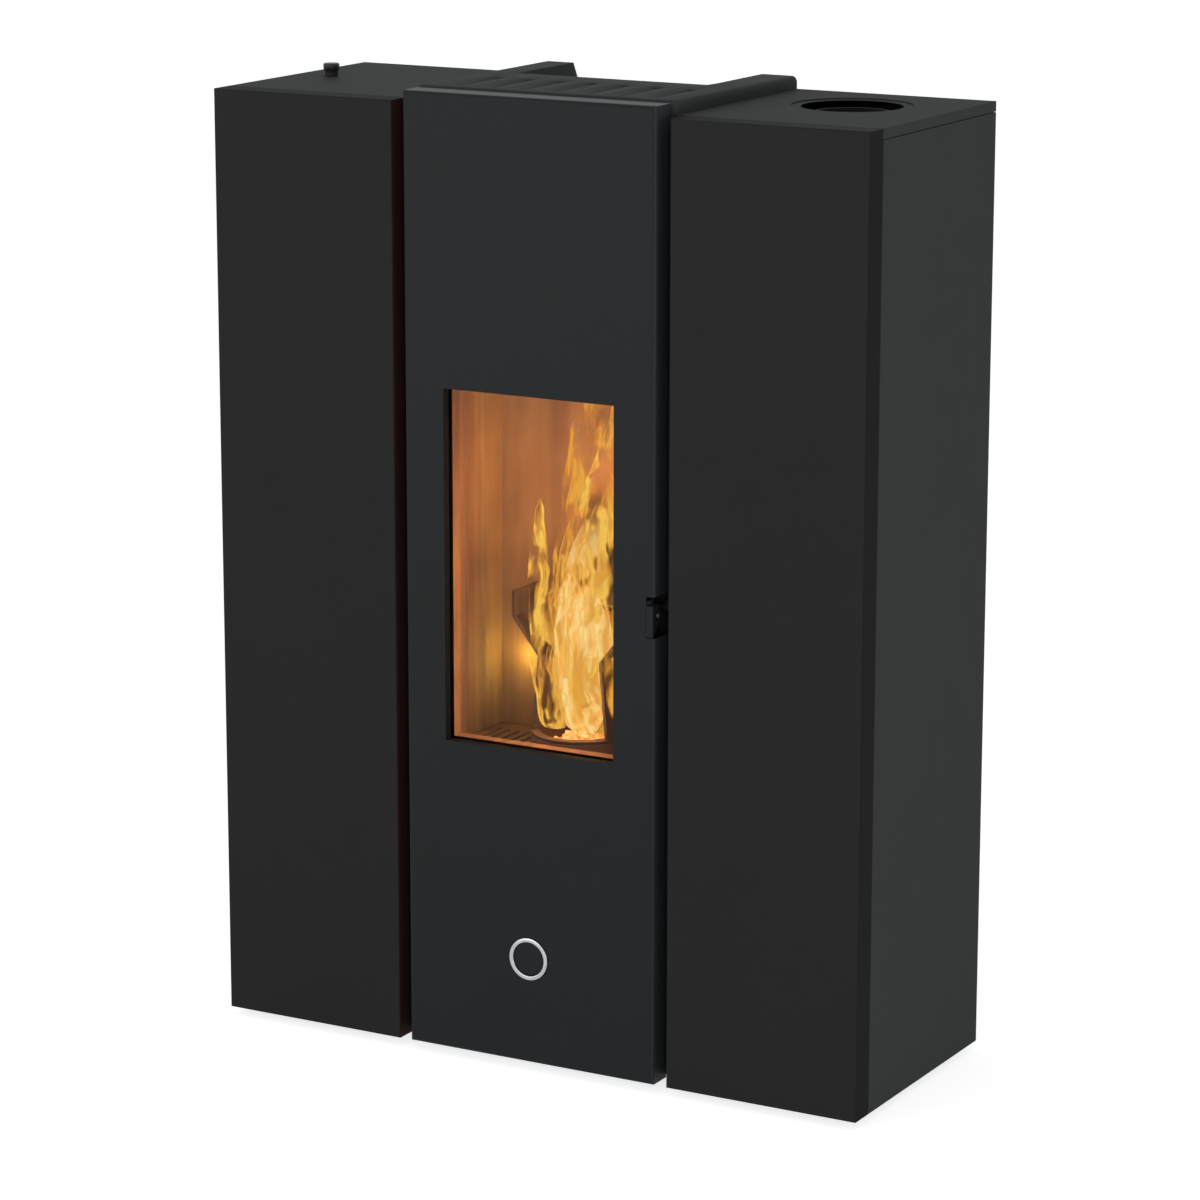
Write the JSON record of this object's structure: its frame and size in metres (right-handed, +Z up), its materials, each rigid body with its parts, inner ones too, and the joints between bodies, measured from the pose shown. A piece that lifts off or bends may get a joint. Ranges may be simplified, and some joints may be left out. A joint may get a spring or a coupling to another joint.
{
  "type": "pellet stove",
  "caption": "Slim upright pellet stove with a full-height hinged glass-window door, a lidded pellet hopper, a louvred top crown and a top flue outlet beside it.",
  "frame": {"origin": "middle of the stove's footprint on the floor, under the four levelling feet", "axes": "+Z up, +Y from the door to the back of the stove, +X to the right when facing the door"},
  "size_m": [0.83, 0.329, 1.1253],
  "materials": {
    "panel_paint": "fine-grain satin powder coat, near-black grey",
    "door_paint": "smooth satin enamel, dark grey with a cool cast",
    "cover_paint": "fine-grain satin powder coat, dark grey",
    "black_paint": "matt heat-resistant black paint",
    "chamber_steel": "heat-browned matt steel",
    "cast_iron": "rough dark cast iron, browned by the fire",
    "sheet_steel": "galvanised and plain sheet steel",
    "bright_ring": "polished metal ring",
    "rubber": "black rubber",
    "rope": "grey glass-fibre rope",
    "plastic": "black moulded plastic",
    "glass": "clear ceramic glass with a faint smoke tint"
  },
  "bodies": {
    "cabinet": {"left_front_panel": "panel_paint", "right_front_panel": "panel_paint", "left_side_panel": "cover_paint", "right_side_panel": "cover_paint", "right_top_cover": "cover_paint", "top_grille": "cover_paint", "base_tray": "black_paint", "rear_panel": "black_paint", "left_upright": "black_paint", "right_upright": "black_paint", "firebox_shell": "chamber_steel", "back_liner": "cast_iron", "left_liner": "cast_iron", "right_liner": "cast_iron", "baffle": "cast_iron", "hearth_plate": "cast_iron", "burn_pot": "cast_iron", "left_pot_wing": "cast_iron", "right_pot_wing": "cast_iron", "heat_exchanger": "cast_iron", "lid_hinge_bracket": "sheet_steel", "lower_hinge_bracket": "sheet_steel", "upper_hinge_bracket": "sheet_steel", "ash_drawer": "sheet_steel", "igniter": "sheet_steel", "hopper": "sheet_steel", "pellet_chute": "sheet_steel", "smoke_collector": "sheet_steel", "smoke_fan_housing": "sheet_steel", "smoke_riser": "sheet_steel", "air_intake_pipe": "sheet_steel", "room_fan_housing": "sheet_steel", "auger_tube": "sheet_steel", "foot_front_left": "rubber", "foot_front_right": "rubber", "foot_rear_left": "rubber", "foot_rear_right": "rubber", "smoke_fan_motor": "plastic", "room_fan_motor": "plastic", "control_box": "plastic", "mains_inlet": "plastic", "auger_motor": "plastic"},
    "door": {"door_skin": "door_paint", "door_frame": "black_paint", "window_glass": "glass", "glass_gasket": "black_paint", "rope_seal": "rope", "lower_hinge_lug": "sheet_steel", "upper_hinge_lug": "sheet_steel", "latch_bracket": "sheet_steel", "button_bezel": "bright_ring"},
    "door_latch": {"latch_lever": "door_paint"},
    "start_button": {"power_button": "door_paint"},
    "lid": {"hopper_lid": "cover_paint", "lid_knob": "plastic", "lid_seal": "rubber"},
    "feed_screw": {"auger_screw": "sheet_steel"},
    "smoke_impeller": {"smoke_fan_wheel": "sheet_steel"},
    "room_impeller": {"room_fan_wheel": "sheet_steel"},
    "rocker": {"mains_switch": "plastic"}
  },
  "joints": [
    {"name": "door_hinge", "type": "hinge", "parent": "cabinet", "child": "door", "pos_m": [-0.15, -0.1536, 0.56], "axis": [0, 0, 1], "range_deg": [-95, 0]},
    {"name": "latch_pivot", "type": "hinge", "parent": "door", "child": "door_latch", "pos_m": [0.156, -0.1476, 0.556], "axis": [1, 0, 0], "range_deg": [-25, 0]},
    {"name": "button_press", "type": "slide", "parent": "door", "child": "start_button", "axis": [0, 1, 0], "range_m": [0, 0.003], "stiffness_N_per_m": 400},
    {"name": "lid_hinge", "type": "hinge", "parent": "cabinet", "child": "lid", "pos_m": [-0.182, 0.0104, 1.102], "axis": [0, 1, 0], "range_deg": [0, 95]},
    {"name": "feed_screw_spin", "type": "hinge", "parent": "cabinet", "child": "feed_screw", "pos_m": [-0.3, 0.0964, 0.465], "axis": [0.788, 0, 0.6157], "continuous": true},
    {"name": "smoke_impeller_spin", "type": "hinge", "parent": "cabinet", "child": "smoke_impeller", "pos_m": [0.243, 0.0604, 0.2], "axis": [0, 1, 0], "continuous": true},
    {"name": "room_impeller_spin", "type": "hinge", "parent": "cabinet", "child": "room_impeller", "pos_m": [0, 0.0304, 0.13], "axis": [1, 0, 0], "continuous": true},
    {"name": "rocker_tilt", "type": "hinge", "parent": "cabinet", "child": "rocker", "pos_m": [0.34, 0.1404, 0.128], "axis": [1, 0, 0], "range_deg": [0, 14]}
  ]
}
